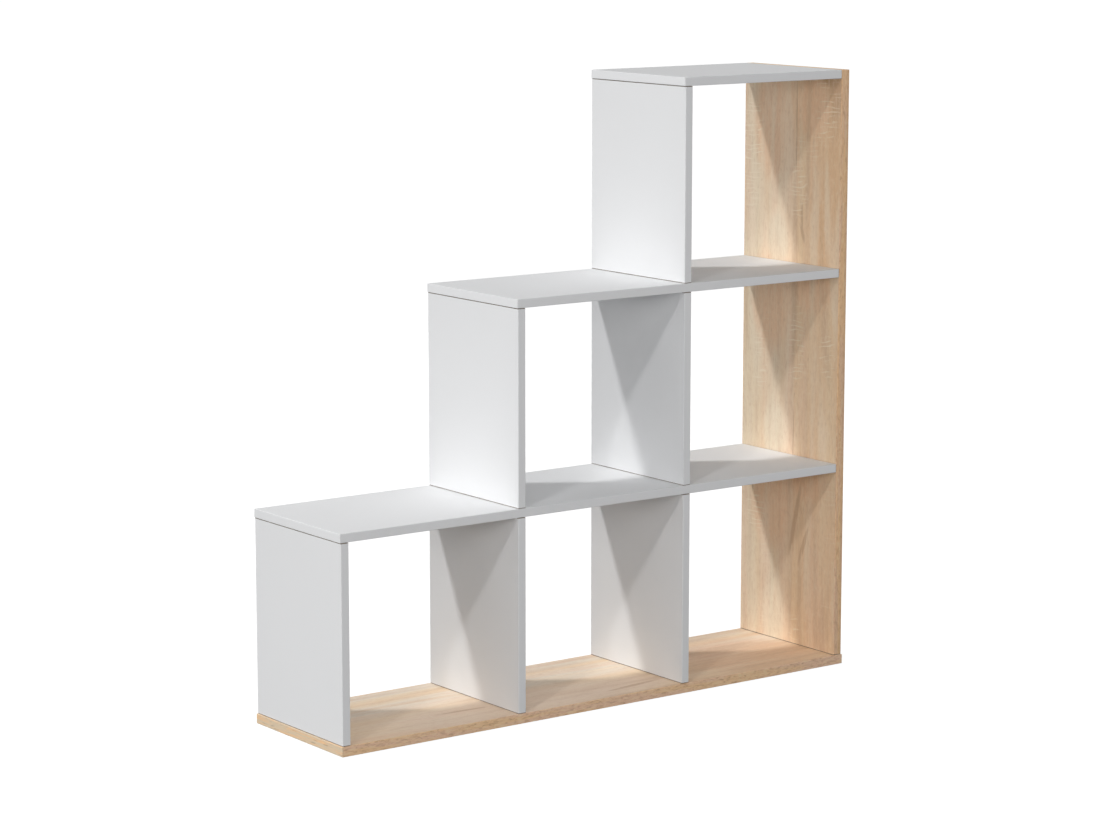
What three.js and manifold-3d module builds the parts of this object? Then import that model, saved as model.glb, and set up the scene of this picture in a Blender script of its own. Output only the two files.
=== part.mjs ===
// Staircase bookshelf of laminated boards: three open cells wide, with rows of three, two and one cells.
// Millimetres, +Z up, +X towards the tall side, the front at -Y, the origin under the middle of the base.
import * as THREE from 'three';
import { mergeVertices } from 'three/addons/utils/BufferGeometryUtils.js';
import Module from 'manifold-3d';

const wasm = await Module();
wasm.setup();

// Driving dimensions of the shelf
const CELL_WIDTH = 355;
const CELL_HEIGHT = 356;
const SHELF_DEPTH = 280;
const WHITE_BOARD = 16;
const OAK_BOARD = 18;
const COLUMNS = 3;

// How far the base stands proud of what it carries, and a shelf of the upright below its left end
const BASE_PROUD_SIDE = 2;
const BASE_PROUD_FRONT = 1.5;
const BASE_PROUD_BACK = 1.5;
const SHELF_PROUD_LEFT = 1.5;

// Hairline joint between two boards, radial fit of a fastener in its bore, and spare depth of a blind bore
const SEAM = 0.3;
const FIT = 0.3;
const BORE_SPARE = 1.5;
const CUT_OVERRUN = 2;

// From a board's front and back edges to its screws and cams, and from those inwards to the dowels
const FASTENER_SETBACK = 48;
const DOWEL_STEP = 44;

// One-piece connector screw
const SCREW_LENGTH = 50;
const SCREW_DIAMETER = 7;
const SCREW_HEAD_DIAMETER = 10;
const SCREW_HEAD_HEIGHT = 3;
const SCREW_RIM = 1;
const SCREW_SHOULDER = 12;
const SCREW_CORE_DIAMETER = 5.6;
const SCREW_TIP = 5;
const SCREW_TIP_DIAMETER = 3;
const SCREW_SINK = 0.6;
const HEX_KEY = 4;
const HEX_DEPTH = 2.6;
const SCREW_SIDES = 10;

// Cam lock and its bolt. A skin is the wood left behind the blind end of a fastener in a white board
const CAM_DIAMETER = 15;
const CAM_SINK = 0.4;
const CAM_SKIN = 3.2;
const CAM_HEIGHT = WHITE_BOARD - CAM_SINK - CAM_SKIN;
const CAM_RIM_DIAMETER = 16.5;
const CAM_RIM_HEIGHT = 0.9;
const CAM_REACH = 34;
const CAM_CROSS_LENGTH = 8;
const CAM_CROSS_WIDTH = 1.8;
const CAM_CROSS_DEPTH = 2;
const CAM_SIDES = 16;
const BOLT_SKIN = 5;
const BOLT_THREAD_LENGTH = WHITE_BOARD - BOLT_SKIN;
const BOLT_THREAD_DIAMETER = 6;
const BOLT_COLLAR_DIAMETER = 7;
const BOLT_COLLAR_HEIGHT = 3;
const BOLT_NECK_DIAMETER = 5;
const BOLT_HEAD_DIAMETER = 7;
const BOLT_HEAD_LENGTH = 5;
const BOLT_CHAMFER = 0.8;
const BOLT_SIDES = 8;

// Wooden dowel
const DOWEL_DIAMETER = 8;
const DOWEL_LENGTH = 30;
const DOWEL_SKIN = 6;
const DOWEL_SHORT_END = WHITE_BOARD - DOWEL_SKIN;
const DOWEL_CHAMFER = 1;
const DOWEL_SIDES = 8;

// Sizes that follow from the driving ones
const COLUMN_PITCH = CELL_WIDTH + WHITE_BOARD;
const ROW_PITCH = CELL_HEIGHT + WHITE_BOARD;
const STACK_WIDTH = COLUMNS * COLUMN_PITCH + OAK_BOARD;
const STACK_LEFT = -STACK_WIDTH / 2;
const SIDE_INNER = STACK_LEFT + COLUMNS * COLUMN_PITCH;
const BASE_WIDTH = STACK_WIDTH + 2 * BASE_PROUD_SIDE;
const BASE_DEPTH = SHELF_DEPTH + BASE_PROUD_FRONT + BASE_PROUD_BACK;
const BASE_FRONT = -BASE_DEPTH / 2;
const SHELF_FRONT = BASE_FRONT + BASE_PROUD_FRONT;
const SHELF_BACK = SHELF_FRONT + SHELF_DEPTH;
const TOTAL_HEIGHT = OAK_BOARD + COLUMNS * ROW_PITCH;

const columnLeft = (column) => STACK_LEFT + (column - 1) * COLUMN_PITCH;
const floorOfRow = (row) => OAK_BOARD + (row - 1) * ROW_PITCH;
const undersideOfShelf = (row) => floorOfRow(row) + CELL_HEIGHT;
const topOfShelf = (row) => undersideOfShelf(row) + WHITE_BOARD;

const setbacks = (distance) => [['front', SHELF_FRONT + distance], ['back', SHELF_BACK - distance]];
const FASTENER_PLACES = setbacks(FASTENER_SETBACK);
const DOWEL_PLACES = setbacks(FASTENER_SETBACK + DOWEL_STEP);

// Finishes
function finish(color, roughness, metalness) {
  return new THREE.MeshStandardMaterial({ color, roughness, metalness });
}

const WHITE = finish(0xf1f1f1, 0.55, 0);
const OAK = finish(0xdcc3a0, 0.6, 0);
const BEECH = finish(0xd9b98a, 0.8, 0);
const ZINC = finish(0xb9bbbd, 0.35, 1);
const CAST_ZINC = finish(0x9fa1a3, 0.5, 1);

const bookshelf = new THREE.Group();
const boards = {};

// A three.js geometry as a solid that can be cut
function toSolid(geometry) {
  const bare = geometry.index ? geometry.toNonIndexed() : geometry.clone();
  bare.deleteAttribute('normal');
  bare.deleteAttribute('uv');
  const merged = mergeVertices(bare);
  return new wasm.Manifold(new wasm.Mesh({
    numProp: 3,
    vertProperties: merged.attributes.position.array,
    triVerts: Uint32Array.from(merged.index.array),
  }));
}

function toGeometry(solid) {
  const mesh = solid.getMesh();
  const geometry = new THREE.BufferGeometry();
  geometry.setAttribute('position', new THREE.BufferAttribute(Float32Array.from(mesh.vertProperties), 3));
  geometry.setIndex(new THREE.BufferAttribute(Uint32Array.from(mesh.triVerts), 1));
  const flat = geometry.toNonIndexed();
  flat.computeVertexNormals();
  return flat;
}

// A turned form about +Z, from its outline of [radius, height] points, which starts and ends on the axis
function turned(outline, sides) {
  const points = outline.map(([radius, height]) => new THREE.Vector2(radius, height));
  return new THREE.LatheGeometry(points, sides).rotateX(Math.PI / 2);
}

function rod(radius, from, to, sides) {
  return turned([[0, from], [radius, from], [radius, to], [0, to]], sides);
}

function addPiece(name, geometry, material, place = new THREE.Matrix4()) {
  const mesh = new THREE.Mesh(geometry, material);
  mesh.name = name;
  mesh.applyMatrix4(place);
  bookshelf.add(mesh);
}

// A board waits here, as two opposite corners, until all its bores are known
function addBoard(name, material, from, to) {
  boards[name] = { material, from: new THREE.Vector3(...from), to: new THREE.Vector3(...to), bores: [] };
}

function drill(geometry, place, ...names) {
  const bore = toSolid(geometry.clone().applyMatrix4(place));
  for (const name of names) boards[name].bores.push(bore);
}

function cutBoards() {
  for (const [name, { material, from, to, bores }] of Object.entries(boards)) {
    const size = to.clone().sub(from);
    const middle = from.clone().add(to).divideScalar(2);
    const place = new THREE.Matrix4().makeTranslation(middle.x, middle.y, middle.z);
    let solid = toSolid(new THREE.BoxGeometry(size.x, size.y, size.z).applyMatrix4(place));
    for (const bore of bores) solid = solid.subtract(bore);
    const back = place.clone().invert();
    addPiece(name, toGeometry(solid).applyMatrix4(back), material, place);
  }
}

// A joint's own frame: z runs into the board that takes the fastener's long end, x out of its drilled face
function frameAt(x, y, z, into, outOf = new THREE.Vector3(1, 0, 0)) {
  const across = new THREE.Vector3().crossVectors(into, outOf);
  return new THREE.Matrix4().makeBasis(outOf, across, into).setPosition(x, y, z);
}

const UP = new THREE.Vector3(0, 0, 1);
const DOWN = new THREE.Vector3(0, 0, -1);
const LEFT = new THREE.Vector3(-1, 0, 0);

// Connector screw, its head at z = SCREW_SINK and its tip up
function makeScrew() {
  const head = SCREW_SINK;
  const core = SCREW_CORE_DIAMETER / 2;
  const shoulder = SCREW_DIAMETER / 2;
  const body = toSolid(turned([
    [0, head],
    [SCREW_HEAD_DIAMETER / 2, head],
    [SCREW_HEAD_DIAMETER / 2, head + SCREW_RIM],
    [shoulder, head + SCREW_HEAD_HEIGHT],
    [shoulder, head + SCREW_SHOULDER],
    [core, head + SCREW_SHOULDER + (shoulder - core)],
    [core, head + SCREW_LENGTH - SCREW_TIP],
    [SCREW_TIP_DIAMETER / 2, head + SCREW_LENGTH],
    [0, head + SCREW_LENGTH],
  ], SCREW_SIDES));
  const socket = rod(HEX_KEY / Math.sqrt(3), head - CUT_OVERRUN, head + HEX_DEPTH, 6);
  return toGeometry(body.subtract(toSolid(socket)));
}

function makeScrewBore() {
  const shank = SCREW_DIAMETER / 2 + FIT;
  const core = SCREW_CORE_DIAMETER / 2 + FIT;
  const mouth = SCREW_HEAD_DIAMETER / 2 + FIT;
  const rim = SCREW_SINK + SCREW_RIM + FIT;
  return turned([
    [0, -CUT_OVERRUN],
    [mouth, -CUT_OVERRUN],
    [mouth, rim],
    [shank, rim + (mouth - shank)],
    [shank, SCREW_SINK + SCREW_SHOULDER + BORE_SPARE],
    [core, SCREW_SINK + SCREW_SHOULDER + BORE_SPARE],
    [core, SCREW_SINK + SCREW_LENGTH + BORE_SPARE],
    [0, SCREW_SINK + SCREW_LENGTH + BORE_SPARE],
  ], SCREW_SIDES);
}

// Cam bolt: its thread runs back from the joint, its neck and head forward to the cam
function makeBolt() {
  const thread = BOLT_THREAD_DIAMETER / 2;
  const collar = BOLT_COLLAR_DIAMETER / 2;
  const neck = BOLT_NECK_DIAMETER / 2;
  const head = BOLT_HEAD_DIAMETER / 2;
  const headFrom = CAM_REACH - BOLT_HEAD_LENGTH / 2;
  const headTo = CAM_REACH + BOLT_HEAD_LENGTH / 2;
  return turned([
    [0, -BOLT_THREAD_LENGTH],
    [thread - BOLT_CHAMFER, -BOLT_THREAD_LENGTH],
    [thread, -BOLT_THREAD_LENGTH + BOLT_CHAMFER],
    [thread, SEAM],
    [collar, SEAM],
    [collar, SEAM + BOLT_COLLAR_HEIGHT],
    [neck, SEAM + BOLT_COLLAR_HEIGHT],
    [neck, headFrom],
    [head, headFrom + BOLT_CHAMFER],
    [head, headTo - BOLT_CHAMFER],
    [head - BOLT_CHAMFER, headTo],
    [0, headTo],
  ], BOLT_SIDES);
}

function makeBoltBore() {
  const thread = BOLT_THREAD_DIAMETER / 2 + FIT;
  const shank = BOLT_COLLAR_DIAMETER / 2 + FIT;
  return turned([
    [0, -BOLT_THREAD_LENGTH - BORE_SPARE],
    [thread, -BOLT_THREAD_LENGTH - BORE_SPARE],
    [thread, 0],
    [shank, 0],
    [shank, CAM_REACH],
    [0, CAM_REACH],
  ], BOLT_SIDES);
}

// Turns a form about z into one about the joint's x axis, opening on the board's face, CAM_REACH along
function toCamSeat(geometry) {
  return geometry.rotateY(Math.PI / 2).translate(WHITE_BOARD / 2, 0, CAM_REACH);
}

function makeCam() {
  const top = -CAM_SINK;
  const radius = CAM_DIAMETER / 2;
  const rim = CAM_RIM_DIAMETER / 2;
  let solid = toSolid(toCamSeat(turned([
    [0, top - CAM_HEIGHT],
    [radius, top - CAM_HEIGHT],
    [radius, top - CAM_RIM_HEIGHT],
    [rim, top],
    [0, top],
  ], CAM_SIDES)));
  for (const turn of [0, Math.PI / 2]) {
    const groove = new THREE.BoxGeometry(CAM_CROSS_LENGTH, CAM_CROSS_WIDTH, 2 * CAM_CROSS_DEPTH);
    solid = solid.subtract(toSolid(toCamSeat(groove.rotateZ(turn).translate(0, 0, top))));
  }
  const mouth = rod(BOLT_HEAD_DIAMETER / 2 + FIT, 0, CAM_REACH + BOLT_HEAD_LENGTH / 2 + FIT, BOLT_SIDES);
  return toGeometry(solid.subtract(toSolid(mouth)));
}

function makeCamBore() {
  const radius = CAM_DIAMETER / 2 + FIT;
  const rim = CAM_RIM_DIAMETER / 2 + FIT;
  const top = -CAM_SINK;
  return toCamSeat(turned([
    [0, top - CAM_HEIGHT - FIT],
    [radius, top - CAM_HEIGHT - FIT],
    [radius, top - CAM_RIM_HEIGHT - FIT],
    [rim, top],
    [rim, CUT_OVERRUN],
    [0, CUT_OVERRUN],
  ], CAM_SIDES));
}

function makeDowel() {
  const radius = DOWEL_DIAMETER / 2;
  const far = DOWEL_LENGTH - DOWEL_SHORT_END;
  return turned([
    [0, -DOWEL_SHORT_END],
    [radius - DOWEL_CHAMFER, -DOWEL_SHORT_END],
    [radius, -DOWEL_SHORT_END + DOWEL_CHAMFER],
    [radius, far - DOWEL_CHAMFER],
    [radius - DOWEL_CHAMFER, far],
    [0, far],
  ], DOWEL_SIDES);
}

function makeDowelBore() {
  const far = DOWEL_LENGTH - DOWEL_SHORT_END + BORE_SPARE;
  return rod(DOWEL_DIAMETER / 2 + FIT, -DOWEL_SHORT_END - BORE_SPARE, far, DOWEL_SIDES);
}

const SCREW = makeScrew();
const SCREW_BORE = makeScrewBore();
const BOLT = makeBolt();
const BOLT_BORE = makeBoltBore();
const CAM = makeCam();
const CAM_BORE = makeCamBore();
const DOWEL = makeDowel();
const DOWEL_BORE = makeDowelBore();

function joinWithScrew(name, place, faceBoard, endBoard) {
  addPiece(name, SCREW.clone(), ZINC, place);
  drill(SCREW_BORE, place, faceBoard, endBoard);
}

function joinWithCam(camName, boltName, place, boltBoard, camBoard) {
  addPiece(camName, CAM.clone(), CAST_ZINC, place);
  addPiece(boltName, BOLT.clone(), ZINC, place);
  drill(BOLT_BORE, place, boltBoard, camBoard);
  drill(CAM_BORE, place, camBoard);
}

function joinWithDowel(name, place, shortBoard, longBoard) {
  addPiece(name, DOWEL.clone(), BEECH, place);
  drill(DOWEL_BORE, place, shortBoard, longBoard);
}

const uprightName = (row, column) => `upright_row${row}_col${column}`;
const shelfName = (row) => `shelf_${row}`;

function addBoards() {
  addBoard('base_panel', OAK, [-BASE_WIDTH / 2, BASE_FRONT, 0], [BASE_WIDTH / 2, -BASE_FRONT, OAK_BOARD]);
  addBoard('side_panel', OAK,
    [SIDE_INNER, SHELF_FRONT, OAK_BOARD + SEAM],
    [SIDE_INNER + OAK_BOARD, SHELF_BACK, TOTAL_HEIGHT]);
  for (let row = 1; row <= COLUMNS; row += 1) {
    addBoard(shelfName(row), WHITE,
      [columnLeft(row) - SHELF_PROUD_LEFT, SHELF_FRONT, undersideOfShelf(row)],
      [SIDE_INNER - SEAM, SHELF_BACK, topOfShelf(row)]);
    for (let column = row; column <= COLUMNS; column += 1) {
      addBoard(uprightName(row, column), WHITE,
        [columnLeft(column), SHELF_FRONT, floorOfRow(row) + SEAM],
        [columnLeft(column) + WHITE_BOARD, SHELF_BACK, undersideOfShelf(row) - SEAM]);
    }
  }
}

// What stands on the base is held by screws from below
function joinToBase() {
  for (const [end, y] of FASTENER_PLACES) {
    for (let column = 1; column <= COLUMNS; column += 1) {
      const place = frameAt(columnLeft(column) + WHITE_BOARD / 2, y, 0, UP);
      joinWithScrew(`base_screw_col${column}_${end}`, place, 'base_panel', uprightName(1, column));
    }
    const place = frameAt(SIDE_INNER + OAK_BOARD / 2, y, 0, UP);
    joinWithScrew(`base_screw_side_${end}`, place, 'base_panel', 'side_panel');
  }
}

// Each step: the shelf is drawn down on the upright under its left end by cams in the upright's inner face
function joinSteps() {
  for (let row = 1; row <= COLUMNS; row += 1) {
    for (const [end, y] of FASTENER_PLACES) {
      const place = frameAt(columnLeft(row) + WHITE_BOARD / 2, y, undersideOfShelf(row), DOWN);
      joinWithCam(`top_cam_row${row}_${end}`, `top_bolt_row${row}_${end}`, place,
        shelfName(row), uprightName(row, row));
    }
  }
}

// Where an upright stands over another, screws go down through the shelf and the upper foot hides them
function joinCrossings() {
  for (let row = 1; row < COLUMNS; row += 1) {
    for (let column = row + 1; column <= COLUMNS; column += 1) {
      const x = columnLeft(column) + WHITE_BOARD / 2;
      for (const [end, y] of FASTENER_PLACES) {
        const place = frameAt(x, y, topOfShelf(row), DOWN);
        joinWithScrew(`shelf_screw_row${row}_col${column}_${end}`, place,
          shelfName(row), uprightName(row, column));
      }
      for (const [end, y] of DOWEL_PLACES) {
        const place = frameAt(x, y, topOfShelf(row), UP);
        joinWithDowel(`foot_dowel_row${row + 1}_col${column}_${end}`, place,
          shelfName(row), uprightName(row + 1, column));
      }
    }
  }
}

// The shelves' right ends meet the side panel with cams in their undersides and a dowel between
function joinToSide() {
  for (let row = 1; row <= COLUMNS; row += 1) {
    const z = undersideOfShelf(row) + WHITE_BOARD / 2;
    for (const [end, y] of FASTENER_PLACES) {
      joinWithCam(`side_cam_shelf${row}_${end}`, `side_bolt_shelf${row}_${end}`,
        frameAt(SIDE_INNER, y, z, LEFT, DOWN), 'side_panel', shelfName(row));
    }
    const middle = frameAt(SIDE_INNER, (SHELF_FRONT + SHELF_BACK) / 2, z, LEFT, DOWN);
    joinWithDowel(`side_dowel_shelf${row}`, middle, 'side_panel', shelfName(row));
  }
}

addBoards();
joinToBase();
joinSteps();
joinCrossings();
joinToSide();
cutBoards();

export default bookshelf;
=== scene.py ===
import math

import bmesh
import bpy
from mathutils import Matrix, Vector


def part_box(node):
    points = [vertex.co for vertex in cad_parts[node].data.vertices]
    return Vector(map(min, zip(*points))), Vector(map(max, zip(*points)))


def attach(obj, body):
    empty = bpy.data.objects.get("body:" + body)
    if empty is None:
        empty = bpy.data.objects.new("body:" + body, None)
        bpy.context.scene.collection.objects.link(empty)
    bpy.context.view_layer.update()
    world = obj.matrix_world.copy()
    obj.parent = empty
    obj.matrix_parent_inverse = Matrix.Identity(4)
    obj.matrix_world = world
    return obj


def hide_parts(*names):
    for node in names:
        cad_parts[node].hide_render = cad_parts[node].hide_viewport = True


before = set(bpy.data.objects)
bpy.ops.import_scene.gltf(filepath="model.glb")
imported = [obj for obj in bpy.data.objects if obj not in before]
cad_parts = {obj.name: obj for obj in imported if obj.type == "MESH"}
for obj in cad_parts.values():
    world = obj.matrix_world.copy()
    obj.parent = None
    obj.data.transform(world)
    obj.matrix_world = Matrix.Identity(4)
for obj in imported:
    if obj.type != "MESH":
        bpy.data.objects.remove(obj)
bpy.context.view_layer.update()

MM = 0.001
X = Vector((1, 0, 0))
Y = Vector((0, 1, 0))
Z = Vector((0, 0, 1))

# Boards: rounding of their arrises, thickness of the glued edge band, and its hairline joint
ARRIS = 1.1 * MM
ARRIS_SEGMENTS = 3
BAND = 2 * MM
BAND_JOINT = 0.15 * MM
WHITE_HALF_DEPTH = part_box("shelf_1")[1].y
SIDE_HALF_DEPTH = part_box("side_panel")[1].y
BASE_HALF_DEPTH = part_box("base_panel")[1].y
BASE_HALF_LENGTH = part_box("base_panel")[1].x

# Limits for sorting a board's points and faces: points that are one, points on a plane, faces in one
# plane, and how far a face may turn towards a covered end before it is raw
MERGE = 0.001 * MM
TOUCH = 0.01 * MM
FLAT = math.radians(1)
RAW_SLANT = 0.2

ROWS = 3
UPRIGHTS = [
    f"upright_row{row}_col{column}"
    for row in range(1, ROWS + 1)
    for column in range(row, ROWS + 1)
]
SHELVES = [f"shelf_{row}" for row in range(1, ROWS + 1)]


class Value:
    """A number or vector that varies over a surface: a node's output, with the sums done on it."""

    def __init__(self, recipe, socket):
        self.recipe = recipe
        self.socket = socket

    def sum(self, operation, *numbers):
        """Adds one Math node."""
        return self.recipe.node("ShaderNodeMath", {"operation": operation}, dict(enumerate(numbers)))

    def __add__(self, other):
        return self.sum("ADD", self, other)

    __radd__ = __add__

    def __sub__(self, other):
        return self.sum("SUBTRACT", self, other)

    def __rsub__(self, other):
        return self.sum("SUBTRACT", other, self)

    def __mul__(self, other):
        return self.sum("MULTIPLY", self, other)

    __rmul__ = __mul__

    def __truediv__(self, other):
        return self.sum("DIVIDE", self, other)

    def __abs__(self):
        return self.sum("ABSOLUTE", self)

    def or_more(self, other):
        """The greater of the two."""
        return self.sum("MAXIMUM", self, other)

    def wave(self):
        return self.sum("SINE", self)


class Recipe:
    """A material in the making."""

    def __init__(self, name):
        self.material = bpy.data.materials.new(name)
        self.material.use_nodes = True
        self.nodes = self.material.node_tree.nodes
        self.links = self.material.node_tree.links
        self.shader = self.nodes["Principled BSDF"]

    def feed(self, socket, value):
        """Links what varies to a socket, and sets what doesn't on it. A colour has three numbers."""
        if isinstance(value, Value):
            self.links.new(value.socket, socket)
        elif socket.type == "RGBA":
            socket.default_value = (*value, 1)
        else:
            socket.default_value = value

    def node(self, kind, settings=None, sockets=None, output=0):
        """Adds a node, its settings first and then its sockets, and gives one of its outputs."""
        made = self.nodes.new(kind)
        for name, setting in (settings or {}).items():
            if name == "stops":
                self.set_stops(made.color_ramp, setting)
            else:
                setattr(made, name, setting)
        for key, value in (sockets or {}).items():
            self.feed(made.inputs[key], value)
        return Value(self, made.outputs[output])

    def set_stops(self, ramp, stops):
        while len(ramp.elements) < len(stops):
            ramp.elements.new(1)
        for element, (position, colour) in zip(ramp.elements, stops):
            element.position = position
            element.color = (*colour, 1)

    def axes(self, vector):
        """A place's X, Y and Z."""
        split = self.node("ShaderNodeSeparateXYZ", None, {"Vector": vector}).socket.node
        return [Value(self, output) for output in split.outputs]

    def stretch(self, vector, scale, shift=(0, 0, 0), turn=(0, 0, 0)):
        """A place scaled, then turned, then moved."""
        sockets = {"Vector": vector, "Scale": scale, "Location": shift, "Rotation": turn}
        return self.node("ShaderNodeMapping", {"vector_type": "POINT"}, sockets)

    def point(self, turn=(0, 0, 0)):
        """The place on the piece in metres, turned."""
        here = self.node("ShaderNodeTexCoord", output="Object")
        return self.stretch(here, (1, 1, 1), turn=turn)

    def noise(self, place, scale=1.0, detail=2.0, roughness=0.5, distortion=0.0):
        """Cloudy values round 0.5."""
        sockets = {"Vector": place, "Scale": scale, "Detail": detail, "Roughness": roughness,
                   "Distortion": distortion}
        return self.node("ShaderNodeTexNoise", {"noise_dimensions": "3D"}, sockets)

    def rise(self, value, start, end):
        """0 up to start, 1 from end, smooth between them."""
        sockets = {"Value": value, "From Min": start, "From Max": end}
        return self.node("ShaderNodeMapRange", {"interpolation_type": "SMOOTHSTEP"}, sockets)

    def ramp(self, value, stops):
        return self.node("ShaderNodeValToRGB", {"stops": stops}, {0: value})

    def mix(self, amount, first, second):
        """From the first colour at 0 to the second at 1."""
        settings = {"data_type": "RGBA", "blend_type": "MIX", "clamp_factor": True}
        return self.node("ShaderNodeMix", settings, {0: amount, 6: first, 7: second}, output=2)

    def scale(self, colour, amount):
        """A colour made lighter or darker by a factor."""
        return self.node("ShaderNodeVectorMath", {"operation": "SCALE"}, {0: colour, "Scale": amount})

    def place(self, *numbers):
        """A place put together from its X, Y and Z."""
        return self.node("ShaderNodeCombineXYZ", None, dict(enumerate(numbers)))

    def bump(self, height, distance, strength=1.0):
        sockets = {"Height": height, "Distance": distance, "Strength": strength}
        return self.node("ShaderNodeBump", None, sockets)

    def finish(self, **sockets):
        """Feeds the shader's sockets, each named with _ for a space, and gives the material."""
        for name, value in sockets.items():
            self.feed(self.shader.inputs[name.replace("_", " ")], value)
        return self.material


def grey(level):
    return (level, level, level)


def band_masks(recipe, depth, half_depth):
    """Where a board's front and back edge bands are, and the hairlines where they meet its faces."""
    from_joint = abs(depth) - (half_depth - BAND)
    band = recipe.rise(from_joint, -BAND_JOINT / 2, BAND_JOINT / 2)
    hairline = 1 - recipe.rise(abs(from_joint), BAND_JOINT / 2, BAND_JOINT)
    return band, hairline


# Plain materials' colours, the darkest first where one material has several
WHITE_FACE = ((0.848, 0.853, 0.861), (0.872, 0.877, 0.885))
WHITE_BAND = (0.895, 0.90, 0.91)
WHITE_JOINT = (0.42, 0.42, 0.43)
# Chipboard tones darker than bare chipboard: painted shade for the dark seam lines where boards meet
CHIPS_AND_SEAM_SHADE = [(0.3, (0.13, 0.10, 0.075)), (0.5, (0.22, 0.175, 0.13)), (0.7, (0.36, 0.29, 0.21))]
BEECH_WOOD = ((0.66, 0.47, 0.29), (0.74, 0.55, 0.36))
BEECH_FLECK = (0.42, 0.26, 0.14)
ZINC_PLATE = ((0.66, 0.68, 0.70), (0.80, 0.80, 0.78))
ZINC_CASTING = ((0.50, 0.51, 0.53), (0.66, 0.67, 0.68))

# How strongly the bands and their joints show, and how strongly the laminates shine
WHITE_BAND_COVER = 0.7
WHITE_JOINT_COVER = 0.45
WHITE_SHINE = 0.05
OAK_JOINT_COVER = 0.35
OAK_SHINE = 0.1


def white_laminate():
    """Matt white melamine with a fine pearl texture, and a smoother edge band."""
    recipe = Recipe("white_laminate")
    here = recipe.point()
    depth = recipe.axes(here)[1]
    band, hairline = band_masks(recipe, depth, WHITE_HALF_DEPTH)
    pearl = recipe.noise(here, 1100, 2, 0.6)
    cloud = recipe.noise(here, 5, 3)
    rubbed = recipe.noise(recipe.stretch(here, (9, 60, 9)), 1, 4, 0.65)
    colour = recipe.mix(cloud, *WHITE_FACE)
    colour = recipe.mix(band * WHITE_BAND_COVER, colour, WHITE_BAND)
    colour = recipe.mix(hairline * WHITE_JOINT_COVER, colour, WHITE_JOINT)
    gloss = 0.46 + 0.10 * pearl + 0.06 * rubbed - 0.06 * band
    texture = recipe.bump(pearl * (1 - 0.7 * band), 0.03 * MM, 0.35)
    return recipe.finish(
        Base_Color=colour, Roughness=gloss, Normal=texture, Specular_IOR_Level=WHITE_SHINE)


def seam_shaded_chipboard():
    """Pressed wood chips on the boards' hidden ends and in their bores, darker than bare chipboard:
    partly its own colour, partly painted shade for the seams between boards.
    """
    recipe = Recipe("seam_shaded_chipboard")
    here = recipe.point()
    chip = recipe.node("ShaderNodeTexVoronoi", {"feature": "F1"}, {"Vector": here, "Scale": 700})
    colour = recipe.ramp(recipe.noise(here, 420, 4, 0.7), CHIPS_AND_SEAM_SHADE)
    return recipe.finish(Base_Color=colour, Roughness=0.9, Normal=recipe.bump(chip, 0.2 * MM))


# The oak's figure. Streaks: how many lie in a metre across and along the grain, where their pattern
# starts, and its detail. Then how strongly each figure shows on the board with full contrast
WIDE_STREAKS = (34, 3, 3.1, 1)
MIDDLE_STREAKS = (190, 20, 4.2, 3)
FINE_STREAKS = (470, 60, 5.7, 3)
PORE_STREAKS = (430, 70, 9.2, 1)
WIDE_STRENGTH = 0.50
MIDDLE_STRENGTH = 0.24
MOTTLE_STRENGTH = 0.28
FINE_STRENGTH = 0.17
PORE_STRENGTH = 0.14
FLAME_STRENGTH = 0.7
SCAR_STRENGTH = 0.62
HUE_STRENGTH = 0.45
STRAY_SCARS = 0.5


def grain_streaks(recipe, grain, across, along, seed, detail):
    """Streaks along the grain, round 0.5."""
    stretched = recipe.stretch(grain, (across, across, along), (seed, 0, 2.3 * seed))
    return recipe.noise(stretched, 1, detail, 0.6)


def spot(recipe, depth, along, middle, reach, lean=0.0):
    """1 in the middle of an oval patch of the board, 0 outside it. It leans by a share of its length."""
    beyond = along - middle[1]
    aside = (depth - middle[0] - lean * beyond) / reach[0]
    beyond = beyond / reach[1]
    return 1 - recipe.rise(aside * aside + beyond * beyond, 0.3, 1.3)


def marked(recipe, depth, along, patches):
    """Where any of the patches is."""
    where = spot(recipe, depth, along, *patches[0])
    for patch in patches[1:]:
        where = where.or_more(spot(recipe, depth, along, *patch))
    return where


def saw_scars(recipe, grain, depth, along, patches):
    """Pale scars of the saw, nearly square to the grain, in patches where the blade bit deeper."""
    wobble = recipe.noise(recipe.stretch(grain, (14, 14, 38)), 1, 2)
    lines = ((along / SCAR_PITCH + 2.6 * wobble + depth * 9) * (2 * math.pi)).wave()
    broken = recipe.noise(recipe.stretch(grain, (28, 28, 125), (4.4, 0, 0)), 1, 3, 0.6)
    drift = recipe.noise(recipe.stretch(grain, (9, 13, 8), (0.3, 1.37, 2.9)), 1, 1)
    stray = recipe.rise(drift, 0.60, 0.72)
    where = marked(recipe, depth, along, patches).or_more(STRAY_SCARS * stray)
    return recipe.rise(lines, 0.30, 0.98) * recipe.rise(broken, 0.42, 0.60) * where


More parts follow.
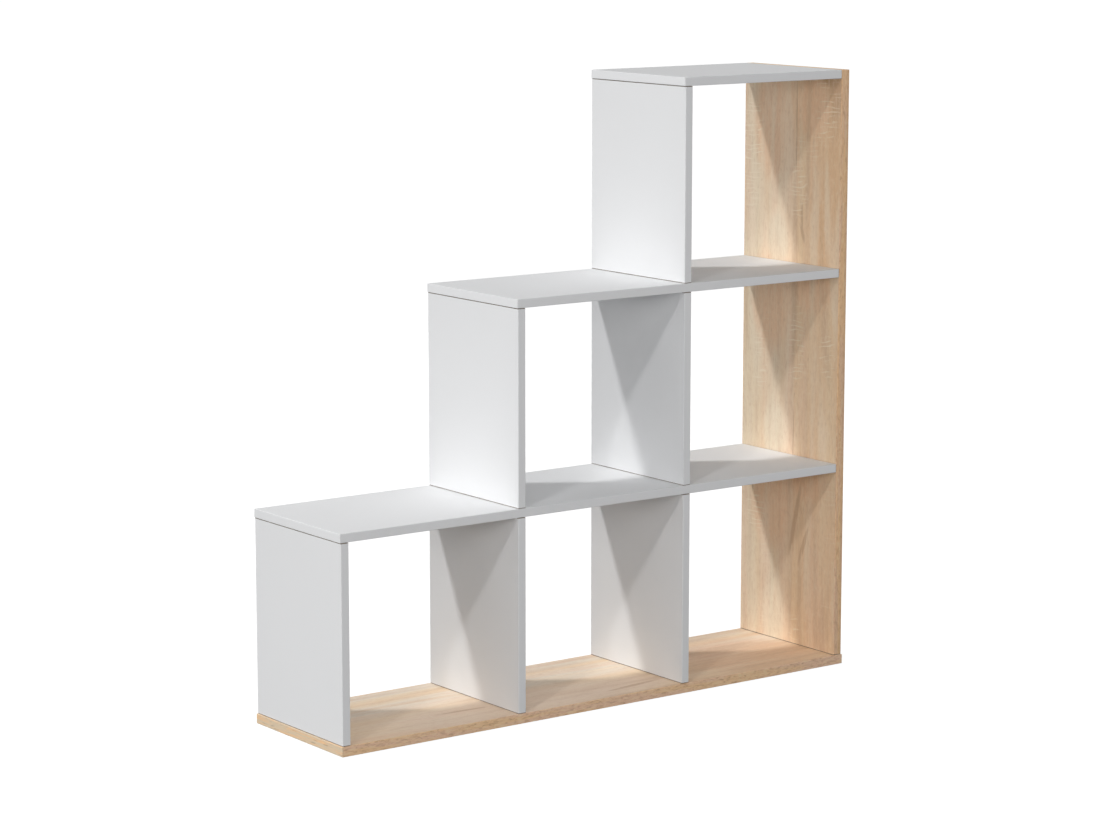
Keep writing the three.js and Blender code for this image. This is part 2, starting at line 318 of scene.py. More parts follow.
def sawn_oak(name, decor):
    """Light sawn-oak laminate, its grain along the turned Z, in planks from front to back, with tinted
    patches from its decor, some of them painted shade and painted light.
    """
    recipe = Recipe(name)
    straight = recipe.point(decor["turn"])
    side, depth, along = recipe.axes(straight)
    half_depth = decor["half_depth"]
    sway = recipe.noise(recipe.stretch(straight, (0, 6, 2.4), (0, 0.8, 1.7)), 1, 2)
    wavy = depth + decor["waves"] * (sway - 0.5)
    grain = recipe.place(side, wavy, along)

    colour = recipe.ramp((wavy + half_depth) / (2 * half_depth), decor["planks"])
    hue = recipe.noise(recipe.stretch(grain, (0, 24, 2.6), (0, 3.3, 0.4)), 1, 2)
    colour = recipe.mix(recipe.rise(hue, 0.50, 0.66) * HUE_STRENGTH, colour, OAK_ROSE)
    colour = recipe.mix(recipe.rise(hue, 0.49, 0.33) * HUE_STRENGTH, colour, OAK_STRAW)
    for tone, amount, patches in decor["tints"]:
        colour = recipe.mix(marked(recipe, wavy, along, patches) * amount, colour, tone)

    wide = grain_streaks(recipe, grain, *WIDE_STREAKS)
    middle = grain_streaks(recipe, grain, *MIDDLE_STREAKS)
    fine = grain_streaks(recipe, grain, *FINE_STREAKS)
    mottle = recipe.noise(recipe.stretch(grain, (150, 150, 75), (8.8, 0, 0)), 1, 3, 0.6)
    pores = recipe.rise(grain_streaks(recipe, grain, *PORE_STREAKS), 0.60, 0.76)
    contrast = decor["contrast"]
    colour = streak(recipe, colour, wide, WIDE_STRENGTH * contrast)
    colour = streak(recipe, colour, middle, MIDDLE_STRENGTH * contrast)
    colour = streak(recipe, colour, mottle, MOTTLE_STRENGTH * contrast)
    colour = streak(recipe, colour, fine, FINE_STRENGTH * contrast)
    flames = marked(recipe, depth, along, decor["flames"]) * recipe.rise(middle, 0.30, 0.50)
    scars = saw_scars(recipe, straight, depth, along, decor["scars"])
    colour = recipe.mix(pores * (PORE_STRENGTH * contrast), colour, OAK_PORE)
    colour = recipe.mix(flames * FLAME_STRENGTH, colour, OAK_DARK)
    colour = recipe.mix(scars * (SCAR_STRENGTH * contrast), colour, OAK_SCAR)

    band, hairline = band_masks(recipe, depth, half_depth)
    colour = recipe.mix(band, colour, oak_edge(recipe, straight, decor))
    colour = recipe.mix(hairline * OAK_JOINT_COVER, colour, OAK_PORE)
    if "half_length" in decor:
        end, end_line = band_masks(recipe, along, decor["half_length"])
        colour = recipe.mix(end, colour, oak_end(recipe, straight))
        colour = recipe.mix(end_line * OAK_JOINT_COVER, colour, OAK_PORE)

    gloss = 0.52 + 0.10 * wide + 0.12 * pores
    relief = 1 - 0.4 * fine - 0.8 * pores + 0.35 * scars
    texture = recipe.bump(relief, 0.08 * MM, 0.5)
    return recipe.finish(
        Base_Color=colour, Roughness=gloss, Normal=texture, Specular_IOR_Level=OAK_SHINE)


def streak(recipe, colour, streaks, strength):
    """Darker and warmer where the streaks are high, paler where they are low."""
    colour = recipe.mix(recipe.rise(streaks, 0.50, 0.74) * strength, colour, OAK_DARK)
    return recipe.mix(recipe.rise(streaks, 0.50, 0.28) * strength, colour, OAK_PALE)


def oak_edge(recipe, grain, decor):
    """The edge band's figure: lengthwise runs of two tones, mottled, with a few scars across, and painted
    shade on its outer side where the decor asks for it.
    """
    across, _, along = recipe.axes(grain)
    runs = recipe.noise(recipe.stretch(grain, (85, 0, 5), (2.2, 0, 0)), 1, 2)
    leaning = recipe.stretch(grain, (250, 0, 66), (0.7, 0, 0), decor["edge_lean"])
    mottle = recipe.noise(leaning, 1, 5, 0.68, 0.5)
    lines = ((along / SCAR_PITCH + 3 * runs) * (2 * math.pi)).wave()
    bitten = recipe.noise(recipe.stretch(grain, (60, 0, 11), (5.1, 0, 0)), 1, 3, 0.6)
    contrast = decor["edge_contrast"]
    colour = recipe.mix(recipe.rise(runs, 0.42, 0.58), *decor["edge_tones"])
    colour = recipe.mix(recipe.rise(mottle, 0.46, 0.74) * contrast, colour, OAK_BROWN)
    colour = recipe.mix(recipe.rise(mottle, 0.52, 0.28) * contrast, colour, OAK_GOLD)
    scars = recipe.rise(lines, 0.55, 0.95) * recipe.rise(bitten, 0.60, 0.70)
    colour = recipe.mix(scars * 0.4, colour, OAK_GOLD)
    # Painted shade: the band darker towards its outer side, away from the light
    if "painted_shade_outer_run" in decor:
        colour = recipe.mix(recipe.rise(across, *decor["painted_shade_outer_run"]) * 0.28, colour, OAK_BROWN)
    return colour


def oak_end(recipe, straight):
    """The band across a board's end: two tones in long thin runs from front to back."""
    runs = recipe.noise(recipe.stretch(straight, (230, 13, 13), (0, 1.9, 0)), 1, 3, 0.6, 0.5)
    dashes = recipe.rise(recipe.noise(recipe.stretch(straight, (420, 30, 30)), 1, 1), 0.60, 0.70)
    base = recipe.mix(recipe.rise(runs, 0.40, 0.62), OAK_CREAM_LIGHT, OAK_OCHRE)
    return recipe.scale(base, 1 - 0.25 * dashes)


def beech(name, turn):
    """Pale beech of the dowels, with short darker flecks along the grain."""
    recipe = Recipe(name)
    grain = recipe.point(turn)
    flecks = recipe.noise(recipe.stretch(grain, (1500, 1500, 260)), 1, 2)
    cloud = recipe.noise(grain, 60, 3)
    colour = recipe.mix(cloud, *BEECH_WOOD)
    colour = recipe.mix(recipe.rise(flecks, 0.58, 0.68) * 0.5, colour, BEECH_FLECK)
    gloss = 0.62 + 0.12 * cloud
    return recipe.finish(Base_Color=colour, Roughness=gloss, Normal=recipe.bump(flecks, 0.05 * MM))


def plated_steel():
    """Bright zinc plating, a little cloudy."""
    recipe = Recipe("zinc_plated_steel")
    here = recipe.point()
    cloud = recipe.noise(here, 320, 3)
    fine = recipe.noise(here, 2600, 2)
    gloss = 0.22 + 0.20 * cloud
    texture = recipe.bump(fine, 0.01 * MM)
    return recipe.finish(
        Base_Color=recipe.mix(cloud, *ZINC_PLATE), Metallic=1.0, Roughness=gloss, Normal=texture)


def cast_zinc():
    """Dull zinc casting with the grain of its mould."""
    recipe = Recipe("die_cast_zinc")
    here = recipe.point()
    cloud = recipe.noise(here, 260, 4, 0.6)
    sand = recipe.noise(here, 3200, 2)
    gloss = 0.42 + 0.20 * cloud
    texture = recipe.bump(sand, 0.03 * MM)
    return recipe.finish(
        Base_Color=recipe.mix(cloud, *ZINC_CASTING), Metallic=1.0, Roughness=gloss, Normal=texture)


# Oak tones: planks, tints of larger patches with painted shade and painted light among them, figure on
# the faces, and edge bands
OAK_CREAM = (0.93, 0.785, 0.59)
OAK_TAN = (0.905, 0.655, 0.43)
OAK_BLUSH = (0.92, 0.71, 0.51)
OAK_SAND = (0.875, 0.755, 0.625)
OAK_FRONT = (0.87, 0.605, 0.38)
OAK_ROSE = (0.90, 0.645, 0.465)
OAK_STRAW = (0.90, 0.695, 0.46)
# Russet is painted shade, laid where the top shelf shades the side panel's top cell
OAK_PAINTED_SHADE_RUSSET = (0.87, 0.57, 0.33)
# Coral is painted shade, a warmer tone in the shaded upper part of each cell
OAK_PAINTED_SHADE_CORAL = (0.95, 0.63, 0.405)
# Milk is painted light, a paler tone where the lamps light the lower part of each cell
OAK_PAINTED_LIGHT_MILK = (0.85, 0.755, 0.59)
OAK_SHELL = (0.97, 0.785, 0.645)
OAK_BROWN = (0.56, 0.345, 0.19)
OAK_DARK = (0.66, 0.445, 0.285)
OAK_PALE = (0.98, 0.82, 0.635)
OAK_PORE = (0.48, 0.31, 0.19)
OAK_SCAR = (1.0, 0.86, 0.68)
OAK_OCHRE = (0.96, 0.63, 0.36)
OAK_AMBER = (0.89, 0.59, 0.395)
OAK_HONEY = (0.99, 0.67, 0.40)
OAK_APRICOT = (0.96, 0.65, 0.46)
OAK_GOLD = (0.99, 0.79, 0.54)
OAK_CREAM_LIGHT = (0.80, 0.65, 0.47)

# How a pattern's Z is turned along the board
ALONG_Z = (0, 0, 0)
ALONG_X = (0, -math.pi / 2, 0)

# Each board's decor: planks as shares of the depth from front to back, and patches as middle and reach
# in metres, depth first and then length along the grain, and how far they lean
SCAR_PITCH = 9 * MM
SIDE_DECOR = {
    "turn": ALONG_Z,
    "half_depth": SIDE_HALF_DEPTH,
    "planks": [
        (0.00, OAK_FRONT), (0.08, OAK_TAN), (0.44, OAK_TAN), (0.46, OAK_BLUSH), (0.56, OAK_BLUSH),
        (0.66, OAK_CREAM), (0.77, OAK_BLUSH), (0.84, OAK_CREAM), (1.00, OAK_CREAM),
    ],
    "tints": [
        # Painted shade: russet and brown over the upper front of the top cell, where the top shelf shades
        # the side panel
        (OAK_PAINTED_SHADE_RUSSET, 0.75, [((-0.115, 0.930), (0.065, 0.230))]),
        (OAK_PAINTED_SHADE_RUSSET, 0.35, [((-0.030, 1.050), (0.060, 0.075))]),
        (OAK_BROWN, 0.30, [((-0.090, 1.085), (0.070, 0.055))]),
        # A small darker brown patch in the front top corner
        (OAK_BROWN, 0.65, [((-0.116, 1.116), (0.034, 0.016))]),
        # Painted shade: coral in the upper part of each cell, where the shelf above shades the side panel
        (OAK_PAINTED_SHADE_CORAL, 0.70, [
            ((0.055, 0.690), (0.060, 0.110)), ((0.055, 1.030), (0.060, 0.120)),
            ((0.050, 0.290), (0.060, 0.100)), ((-0.060, 0.715), (0.060, 0.050)),
            ((-0.060, 1.060), (0.050, 0.060)), ((-0.060, 0.350), (0.060, 0.050)),
        ]),
        # Painted light: milk in the lower part of each cell, where the lamps light the side panel most
        (OAK_PAINTED_LIGHT_MILK, 0.55, [
            ((0.040, 0.800), (0.032, 0.060)), ((0.042, 0.430), (0.036, 0.070)),
            ((0.042, 0.070), (0.036, 0.090)),
        ]),
    ],
    "scars": [
        ((0.116, 0.960), (0.032, 0.125)), ((-0.018, 0.900), (0.030, 0.055)),
        ((-0.105, 1.045), (0.036, 0.060), -0.25), ((-0.095, 1.112), (0.040, 0.016)),
        ((-0.018, 0.605), (0.028, 0.085)), ((-0.108, 0.590), (0.026, 0.050)),
        ((0.100, 0.262), (0.034, 0.045)), ((0.090, 0.560), (0.026, 0.060)),
        ((-0.022, 0.050), (0.020, 0.026)),
    ],
    "flames": [
        ((-0.033, 0.820), (0.005, 0.020), 0.35), ((-0.021, 0.262), (0.007, 0.075), -0.23),
        ((-0.046, 0.215), (0.006, 0.040), -0.36), ((-0.030, 0.860), (0.004, 0.050), 0.05),
        ((-0.013, 1.020), (0.0024, 0.100)), ((-0.013, 0.420), (0.0020, 0.060)),
    ],
    "waves": 12 * MM,
    "contrast": 1.0,
    "edge_lean": (0, 0, 0),
    "edge_tones": (OAK_OCHRE, OAK_AMBER),
    # Painted shade along the front edge's outer side, away from the light
    "painted_shade_outer_run": (559 * MM, 562 * MM),
    "edge_contrast": 0.60,
}
BASE_DECOR = {
    "turn": ALONG_X,
    "half_depth": BASE_HALF_DEPTH,
    "half_length": BASE_HALF_LENGTH,
    "planks": [
        (0.00, OAK_TAN), (0.15, OAK_BLUSH), (0.24, OAK_TAN), (0.44, OAK_BLUSH), (0.56, OAK_SAND),
        (0.74, OAK_SAND), (0.80, OAK_BLUSH), (0.88, OAK_SAND), (1.00, OAK_SAND),
    ],
    "tints": [
        (OAK_AMBER, 0.60, [((-0.040, 0.410), (0.150, 0.140))]),
        (OAK_SHELL, 0.65, [((-0.085, -0.120), (0.080, 0.360))]),
    ],
    "scars": [((0.060, 0.020), (0.030, 0.050)), ((-0.070, -0.330), (0.024, 0.040))],
    "flames": [((-0.095, 0.100), (0.006, 0.070), 0.12), ((-0.060, -0.260), (0.005, 0.060), -0.08)],
    "waves": 22 * MM,
    "contrast": 0.75,
    "edge_lean": (0, math.radians(24), 0),
    "edge_tones": (OAK_HONEY, OAK_APRICOT),
    "edge_contrast": 0.85,
}

white = white_laminate()
chipboard = seam_shaded_chipboard()
oak_upright = sawn_oak("oak_laminate_side", SIDE_DECOR)
oak_level = sawn_oak("oak_laminate_base", BASE_DECOR)
beech_upright = beech("beech_upright", ALONG_Z)
beech_level = beech("beech_level", ALONG_X)
steel = plated_steel()
zinc = cast_zinc()


def add_piece(name, form, slot, *materials):
    """Makes a finished form the visible piece for the CAD node of the same name."""
    mesh = bpy.data.meshes.new(name + "_dressed")
    form.to_mesh(mesh)
    form.free()
    for material in materials:
        mesh.materials.append(material)
    piece = bpy.data.objects.new(name + "_dressed", mesh)
    bpy.context.scene.collection.objects.link(piece)
    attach(piece, "root")
    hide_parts(name)


def planes_met(point, corners):
    """How many of a board's outer planes a point lies on."""
    return sum(abs(point[axis] - corner[axis]) < TOUCH for corner in corners for axis in range(3))


def is_raw(face, corners, raw_ends):
    """True in a bore, and on an end that another board covers."""
    centre = face.calc_center_median()
    # Bevels turned towards a covered end take the dark chipboard, which draws the seam's painted shade
    if any(face.normal.dot(end) > RAW_SLANT for end in raw_ends):
        return True
    inset = min(abs(centre[axis] - corner[axis]) for corner in corners for axis in range(3))
    return inset > ARRIS


def dress_board(name, slot, surface, raw_ends=()):
    """A copy of the CAD board with rounded arrises, and raw chipboard where no laminate is."""
    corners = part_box(name)
    form = bmesh.new()
    form.from_mesh(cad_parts[name].data)
    bmesh.ops.remove_doubles(form, verts=form.verts, dist=MERGE)
    bmesh.ops.dissolve_limit(form, angle_limit=FLAT, verts=form.verts, edges=form.edges)
    arrises = [edge for edge in form.edges
               if planes_met((edge.verts[0].co + edge.verts[1].co) / 2, corners) == 2]
    bmesh.ops.bevel(form, geom=arrises, offset=ARRIS, offset_type="OFFSET", segments=ARRIS_SEGMENTS,
                    profile=0.5, affect="EDGES", material=-1, clamp_overlap=True)
    form.normal_update()
    for face in form.faces:
        face.material_index = int(is_raw(face, corners, raw_ends))
    add_piece(name, form, slot, surface, chipboard)


# Fittings are made in millimetres, with their outer end at the origin and +Z into the board. What is
# turned round Z is given as radius and height, and a recess and the arrow as X and Y. A recess's taper is
# its floor as a share of its mouth. A thread has its core and crest radius, its pitch, its start and end
ROUND = 48
PER_TURN = 16
THREAD_ROOT = 0.27
THREAD_CREST = 0.05
THREAD_SUNK = 0.1

SCREW_OUTLINE = [
    (4.75, 0), (5, 0.25), (5, 1), (3.5, 3), (3.5, 12), (1.95, 13.4), (1.95, 45), (1.2, 49.4),
    (0.9, 50), (0, 50),
]
SCREW_THREAD = (1.95, 2.8, 3, 14, 46)
HEX_ACROSS = 4
HEX_RADIUS = HEX_ACROSS / math.sqrt(3)
HEX_OUTLINE = [
    (HEX_RADIUS * math.cos(corner * math.pi / 3), HEX_RADIUS * math.sin(corner * math.pi / 3))
    for corner in range(6)
]
HEX_DEPTH = 2.6
HEX_TAPER = 0.96

BOLT_OUTLINE = [
    (0, 0), (2.1, 0), (3.2, 0.7), (3.5, 2), (3.5, 3.4), (2.5, 5), (2.5, 33.2), (3.1, 33.2),
    (3.5, 33.6), (3.5, 36.2), (2.2, 36.2), (2.2, 46.6), (1.6, 47.5), (0, 47.5),
]
BOLT_THREAD = (2.2, 3, 2, 37, 46.4)

CAM_RIM_OUTLINE = [(8.05, 0), (8.25, 0.2), (7.5, 0.95), (7.5, 3.9), (0, 3.9)]
CAM_BOTTOM_OUTLINE = [(0, 11.3), (7.5, 11.3), (7.5, 12), (7.1, 12.4), (0, 12.4)]
CAM_WALL = [(4.7, 3.8), (7.5, 3.8), (7.5, 11.4), (4.7, 11.4)]
CAM_WALL_STEPS = 36
CAM_HALF_OPENING = math.radians(55)
CAM_ARROW = [(5.1, 1.1), (5.1, -1.1), (7.0, 0)]
CAM_ARROW_SUNK = 0.05
CAM_ARROW_RAISED = 0.2
CROSS_ARM = 4
CROSS_HALF = 0.9
CROSS_OUTLINE = [
    (CROSS_ARM, CROSS_HALF), (CROSS_HALF, CROSS_HALF), (CROSS_HALF, CROSS_ARM),
    (-CROSS_HALF, CROSS_ARM), (-CROSS_HALF, CROSS_HALF), (-CROSS_ARM, CROSS_HALF),
    (-CROSS_ARM, -CROSS_HALF), (-CROSS_HALF, -CROSS_HALF), (-CROSS_HALF, -CROSS_ARM),
    (CROSS_HALF, -CROSS_ARM), (CROSS_HALF, -CROSS_HALF), (CROSS_ARM, -CROSS_HALF),
]
CROSS_DEPTH = 2
CROSS_TAPER = 0.86

DOWEL_RADIUS = 4
DOWEL_LENGTH = 30
DOWEL_CHAMFER = 1
DOWEL_TIP_SHARE = 0.76
DOWEL_GROOVE_RADIUS = 3.72


def seat(name, into, across):
    """Where a fitting sits: outer end at the start of its CAD node, +Z into the board, +X across."""
    low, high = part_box(name)
    start = (low + high) / 2 - into * abs((high - low).dot(into)) / 2
    turned = Matrix((across, into.cross(across), into)).transposed().to_4x4()
    return Matrix.Translation(start) @ turned @ Matrix.Scale(MM, 4)


def turn_outline(form, outline):
    """Turns an outline of radius and height round Z."""
    points = [form.verts.new((radius, 0, height)) for radius, height in outline]
    edges = [form.edges.new(pair) for pair in zip(points, points[1:])]
    bmesh.ops.spin(form, geom=points + edges, cent=(0, 0, 0), axis=(0, 0, 1), dvec=(0, 0, 0),
                   angle=2 * math.pi, steps=ROUND, use_merge=True, use_duplicate=False)


def wind_thread(form, core, crest, pitch, start, end):
    """A screw thread as one ridge wound round the core."""
    steps = round((end - start) / pitch * PER_TURN)
    root = core - THREAD_SUNK
    foot = THREAD_ROOT * pitch
    top = THREAD_CREST * pitch
    corners = [(root, -foot), (crest, -top), (crest, top), (root, foot)]
    points = [form.verts.new((radius, 0, start + rise)) for radius, rise in corners]
    face = form.faces.new(points)
    bmesh.ops.spin(form, geom=points + list(face.edges) + [face], cent=(0, 0, 0), axis=(0, 0, 1),
                   dvec=(0, 0, pitch / PER_TURN), angle=steps / PER_TURN * 2 * math.pi, steps=steps,
                   use_merge=False, use_duplicate=False)


def pull_loop(form, loop):
    """Pulls a wall out of a loop of edges. Gives the far loop's points and its edges."""
    pulled = bmesh.ops.extrude_edge_only(form, edges=loop)["geom"]
    points = [item for item in pulled if isinstance(item, bmesh.types.BMVert)]
    edges = [item for item in pulled if isinstance(item, bmesh.types.BMEdge)]
    return points, [edge for edge in edges if all(vert in points for vert in edge.verts)]


def cut_recess(form, outline, rim_radius, depth, taper):
    """A flat round face of that radius with a tapered recess of that outline sunk in its middle."""
    rim = bmesh.ops.create_circle(form, cap_ends=False, segments=ROUND, radius=rim_radius)["verts"]
    mouth = [form.verts.new((x, y, 0)) for x, y in outline]
    mouth_edges = [form.edges.new(pair) for pair in zip(mouth, mouth[1:] + mouth[:1])]
    rim_edges = list({edge for vert in rim for edge in vert.link_edges})
    bmesh.ops.triangle_fill(form, use_beauty=True, use_dissolve=False, edges=rim_edges + mouth_edges)
    sunk, loop = pull_loop(form, mouth_edges)
    bmesh.ops.scale(form, vec=(taper, taper, 1), verts=sunk)
    bmesh.ops.translate(form, vec=(0, 0, depth), verts=sunk)
    bmesh.ops.edgeloop_fill(form, edges=loop)


def close_form(form, place):
    """Merges a fitting's parts, turns its faces outwards and puts it in its place."""
    bmesh.ops.remove_doubles(form, verts=form.verts, dist=MERGE / MM)
    bmesh.ops.recalc_face_normals(form, faces=form.faces)
    bmesh.ops.transform(form, matrix=place, verts=form.verts)


def dress_screw(name, into):
    """Connector screw: countersunk head with a hex socket, plain shank, coarse thread, blunt tip."""
    form = bmesh.new()
    cut_recess(form, HEX_OUTLINE, SCREW_OUTLINE[0][0], HEX_DEPTH, HEX_TAPER)
    turn_outline(form, SCREW_OUTLINE)
    wind_thread(form, *SCREW_THREAD)
    close_form(form, seat(name, into, X))
    add_piece(name, form, "zinc_plated_steel", steel)


def dress_bolt(name, into, across):
    """Cam bolt: rounded head, neck, collar, and a coarse thread in the board."""
    form = bmesh.new()
    turn_outline(form, BOLT_OUTLINE)
    wind_thread(form, *BOLT_THREAD)
    close_form(form, seat(name, into, across))
    add_piece(name, form, "zinc_plated_steel", steel)


def add_cam_wall(form):
    """The cam's wall, open towards its bolt."""
    start = Matrix.Rotation(CAM_HALF_OPENING, 4, "Z")
    points = [form.verts.new(start @ Vector((radius, 0, height))) for radius, height in CAM_WALL]
    face = form.faces.new(points)
    bmesh.ops.spin(form, geom=points + list(face.edges) + [face], cent=(0, 0, 0), axis=(0, 0, 1),
                   dvec=(0, 0, 0), angle=2 * (math.pi - CAM_HALF_OPENING), steps=CAM_WALL_STEPS,
                   use_merge=False, use_duplicate=False)


def add_cam_arrow(form):
    """A small raised triangle that points to the bolt."""
    points = [form.verts.new((x, y, CAM_ARROW_SUNK)) for x, y in CAM_ARROW]
    face = form.faces.new(points)
    raised = bmesh.ops.extrude_face_region(form, geom=[face])["geom"]
    tops = [item for item in raised if isinstance(item, bmesh.types.BMVert)]
    bmesh.ops.translate(form, vec=(0, 0, -CAM_ARROW_RAISED), verts=tops)


def dress_cam(name, into, across):
    """Cam lock: flat face with a cross recess and an arrow, flared rim, wall open to the bolt, bottom."""
    form = bmesh.new()
    cut_recess(form, CROSS_OUTLINE, CAM_RIM_OUTLINE[0][0], CROSS_DEPTH, CROSS_TAPER)
    turn_outline(form, CAM_RIM_OUTLINE)
    turn_outline(form, CAM_BOTTOM_OUTLINE)
    add_cam_wall(form)
    add_cam_arrow(form)
    close_form(form, seat(name, into, across))
    add_piece(name, form, "die_cast_zinc", zinc)


def dress_dowel(name, into, across, wood):
    """Fluted dowel with chamfered ends."""
    form = bmesh.new()
    ring = bmesh.ops.create_circle(form, cap_ends=True, segments=ROUND, radius=DOWEL_RADIUS)["verts"]
    for groove in ring[::2]:
        groove.co *= DOWEL_GROOVE_RADIUS / DOWEL_RADIUS
    tip = DOWEL_TIP_SHARE
    bmesh.ops.scale(form, vec=(tip, tip, 1), verts=ring)
    loop = list(form.edges)
    shaft = DOWEL_LENGTH - 2 * DOWEL_CHAMFER
    for rise, growth in ((DOWEL_CHAMFER, 1 / tip), (shaft, 1), (DOWEL_CHAMFER, tip)):
        points, loop = pull_loop(form, loop)
        bmesh.ops.translate(form, vec=(0, 0, rise), verts=points)
        bmesh.ops.scale(form, vec=(growth, growth, 1), verts=points)
    bmesh.ops.edgeloop_fill(form, edges=loop)
    close_form(form, seat(name, into, across))
    add_piece(name, form, "beech", wood)


def dress_boards():
    dress_board("base_panel", "oak_laminate", oak_level)
    dress_board("side_panel", "oak_laminate", oak_upright, raw_ends=(-Z,))
    for name in SHELVES:
        dress_board(name, "white_laminate", white, raw_ends=(X,))
    for name in UPRIGHTS:
        dress_board(name, "white_laminate", white, raw_ends=(Z, -Z))


# Fittings by the start of their names: how each is dressed, the way into its board, and the way across
FITTINGS = {
    "base_screw": (dress_screw, Z),
    "shelf_screw": (dress_screw, -Z),
    "top_cam": (dress_cam, -X, Z),
    "side_cam": (dress_cam, Z, X),
    "top_bolt": (dress_bolt, Z, X),
    "side_bolt": (dress_bolt, X, Z),
    "foot_dowel": (dress_dowel, Z, X, beech_upright),
    "side_dowel": (dress_dowel, X, Z, beech_level),
}


def dress_fittings():
    for name in sorted(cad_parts):
        for start, (dress, *facts) in FITTINGS.items():
            if name.startswith(start):
                dress(name, *facts)


# Floor: how far it reaches, how far it lies under the base, and its grey as it lights the object. What
# the eye sees is another grey, which takes light and shadow, and a glow of its own
FLOOR_RADIUS = 90
FLOOR_SIDES = 128
FLOOR_DROP = 0.3 * MM
FLOOR_BOUNCE = 0.12
FLOOR_SHADE = 0.22
FLOOR_GLOW = 0.93

# The white surroundings' strength as light
AMBIENT = 0.1

# Far softboxes, as suns: azimuth 0 is the front and 90 the left, and spread is how wide each looks, all
# in degrees
SUNS = {
    "key_back_left": {"azimuth": 121.5, "elevation": 48.8, "spread": 4.5, "strength": 1.31},
    "key_front_left": {"azimuth": 58, "elevation": 35.5, "spread": 3.5, "strength": 0.415},
}
SUN_DISTANCE = 3

# Softboxes that stand round the object: distance, middle height and width in metres, power in watts
SOFTBOX_TALL = 1.4
SOFTBOXES = {
    "fill_front": {"azimuth": 0, "distance": 5, "height": 1.6, "width": 3, "power": 44},
    "fill_front_left": {"azimuth": 45, "distance": 5, "height": 1.6, "width": 3, "power": 63},
    "fill_left": {"azimuth": 90, "distance": 5, "height": 0.8, "width": 3, "power": 41},
    "fill_back": {"azimuth": 180, "distance": 5, "height": 1.6, "width": 3, "power": 148},
    "fill_right": {"azimuth": 270, "distance": 5, "height": 0.8, "width": 3, "power": 42},
    "fill_front_right": {"azimuth": 315, "distance": 9, "height": 1.6, "width": 7, "power": 38},
}


def seen_white(nodes, links):
    """1 for the rays of the eye, of mirrors and of glass, which see the studio white; 0 for light."""
    path = nodes.new("ShaderNodeLightPath")
    total = path.outputs["Is Camera Ray"]
    for name in ("Is Glossy Ray", "Is Transmission Ray"):
        either = nodes.new("ShaderNodeMath")
        either.operation = "MAXIMUM"
        links.new(total, either.inputs[0])
        links.new(path.outputs[name], either.inputs[1])
        total = either.outputs[0]
    return total


def add_floor():
    """A pale floor: white to the eye where it is lit, darker where the object shades it."""
    form = bmesh.new()
    bmesh.ops.create_circle(form, cap_ends=True, segments=FLOOR_SIDES, radius=FLOOR_RADIUS)
    bmesh.ops.translate(form, vec=(0, 0, -FLOOR_DROP), verts=form.verts)
    mesh = bpy.data.meshes.new("floor")
    form.to_mesh(mesh)
    form.free()
    recipe = Recipe("pale_floor")
    seen = Value(recipe, seen_white(recipe.nodes, recipe.links))
    bounce = recipe.node("ShaderNodeBsdfDiffuse", None, {"Color": grey(FLOOR_BOUNCE)})
    paint = recipe.node("ShaderNodeBsdfDiffuse", None, {"Color": grey(FLOOR_SHADE)})
    glow = recipe.node("ShaderNodeEmission", None, {"Color": grey(1), "Strength": FLOOR_GLOW})
    lit = recipe.node("ShaderNodeAddShader", None, {0: paint, 1: glow})
    shown = recipe.node("ShaderNodeMixShader", None, {0: seen, 1: bounce, 2: lit})
    recipe.links.new(shown.socket, recipe.nodes["Material Output"].inputs["Surface"])
    mesh.materials.append(recipe.material)
    floor = bpy.data.objects.new("floor", mesh)
    bpy.context.scene.collection.objects.link(floor)


def add_world():
    """Even white surroundings: full white to the eye and in reflections, weaker as light."""
    world = bpy.data.worlds.new("studio")
    world.use_nodes = True
    nodes, links = world.node_tree.nodes, world.node_tree.links
    background = nodes["Background"]
    background.inputs["Color"].default_value = (1, 1, 1, 1)
    level = nodes.new("ShaderNodeMapRange")
    level.inputs["To Min"].default_value = AMBIENT
    level.inputs["To Max"].default_value = 1.0
    links.new(seen_white(nodes, links), level.inputs["Value"])
    links.new(level.outputs[0], background.inputs["Strength"])
    bpy.context.scene.world = world


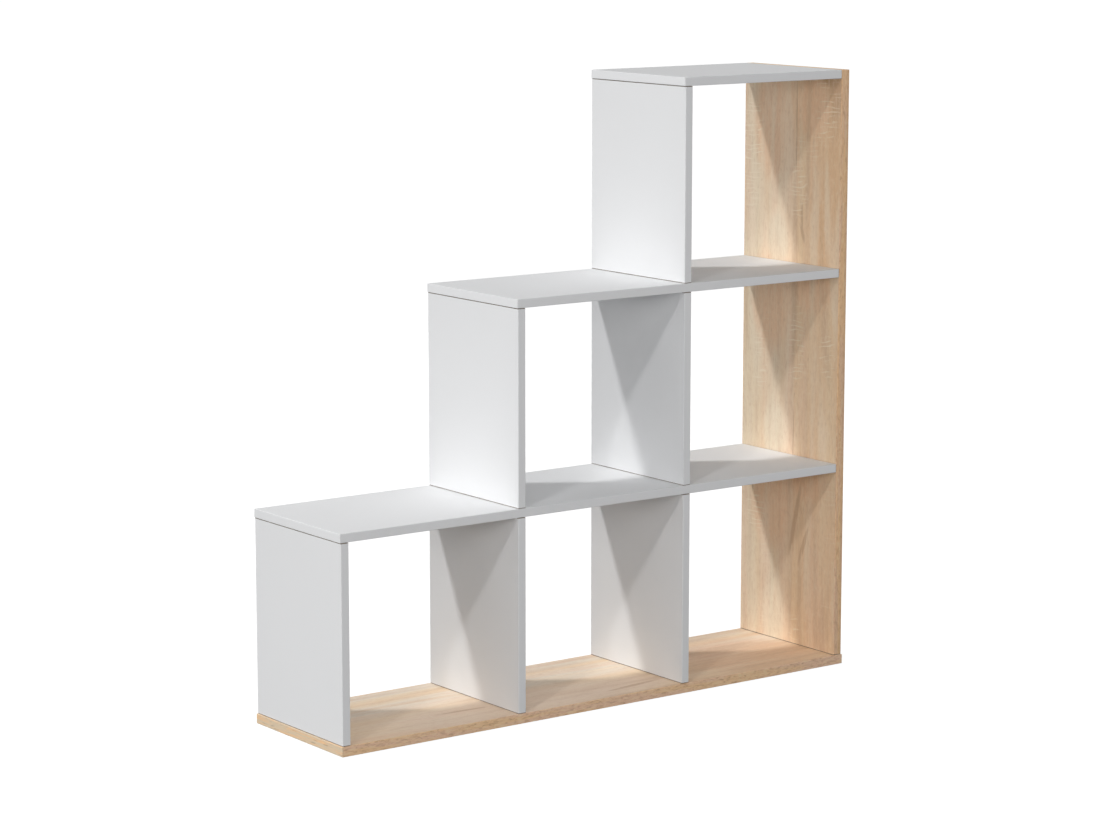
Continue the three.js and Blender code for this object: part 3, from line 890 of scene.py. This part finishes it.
def lamp_direction(azimuth, elevation=0):
    """The direction from the object to a lamp."""
    turn, climb = math.radians(azimuth), math.radians(elevation)
    return Vector((-math.sin(turn) * math.cos(climb), -math.cos(turn) * math.cos(climb), math.sin(climb)))


def add_lamp(name, light, back, place):
    """Puts a lamp in its place, out of the camera's sight, with its back that way."""
    lamp = bpy.data.objects.new(name, light)
    lamp.location = place
    lamp.rotation_euler = back.to_track_quat("Z", "Y").to_euler()
    lamp.visible_camera = False
    bpy.context.scene.collection.objects.link(lamp)


def add_sun(name, azimuth, elevation, spread, strength):
    light = bpy.data.lights.new(name, "SUN")
    light.angle = math.radians(spread)
    light.energy = strength
    back = lamp_direction(azimuth, elevation)
    add_lamp(name, light, back, SUN_DISTANCE * back)


def add_softbox(name, azimuth, distance, height, width, power):
    light = bpy.data.lights.new(name, "AREA")
    light.shape = "RECTANGLE"
    light.size = width
    light.size_y = SOFTBOX_TALL
    light.energy = power
    back = lamp_direction(azimuth)
    add_lamp(name, light, back, distance * back + height * Z)


# Camera: its place in metres, its tilt up from straight down and its turn from +Y in degrees, and its
# lens and sensor in millimetres
CAMERA_PLACE = (-3.4616, -4.6863, 1.4988)
CAMERA_TILT = 80.514
CAMERA_TURN = -36.271
CAMERA_LENS = 106.04
CAMERA_SENSOR = 36
CAMERA_REACH = 200


def add_camera():
    data = bpy.data.cameras.new("camera")
    data.sensor_fit = "HORIZONTAL"
    data.sensor_width = CAMERA_SENSOR
    data.lens = CAMERA_LENS
    data.clip_end = CAMERA_REACH
    camera = bpy.data.objects.new("camera", data)
    camera.location = CAMERA_PLACE
    camera.rotation_euler = (math.radians(CAMERA_TILT), 0, math.radians(CAMERA_TURN))
    bpy.context.scene.collection.objects.link(camera)
    bpy.context.scene.camera = camera


dress_boards()
dress_fittings()
add_floor()
add_world()
for lamp_name, lamp_facts in SUNS.items():
    add_sun(lamp_name, **lamp_facts)
for lamp_name, lamp_facts in SOFTBOXES.items():
    add_softbox(lamp_name, **lamp_facts)
add_camera()
bpy.context.scene.view_settings.view_transform = "Standard"
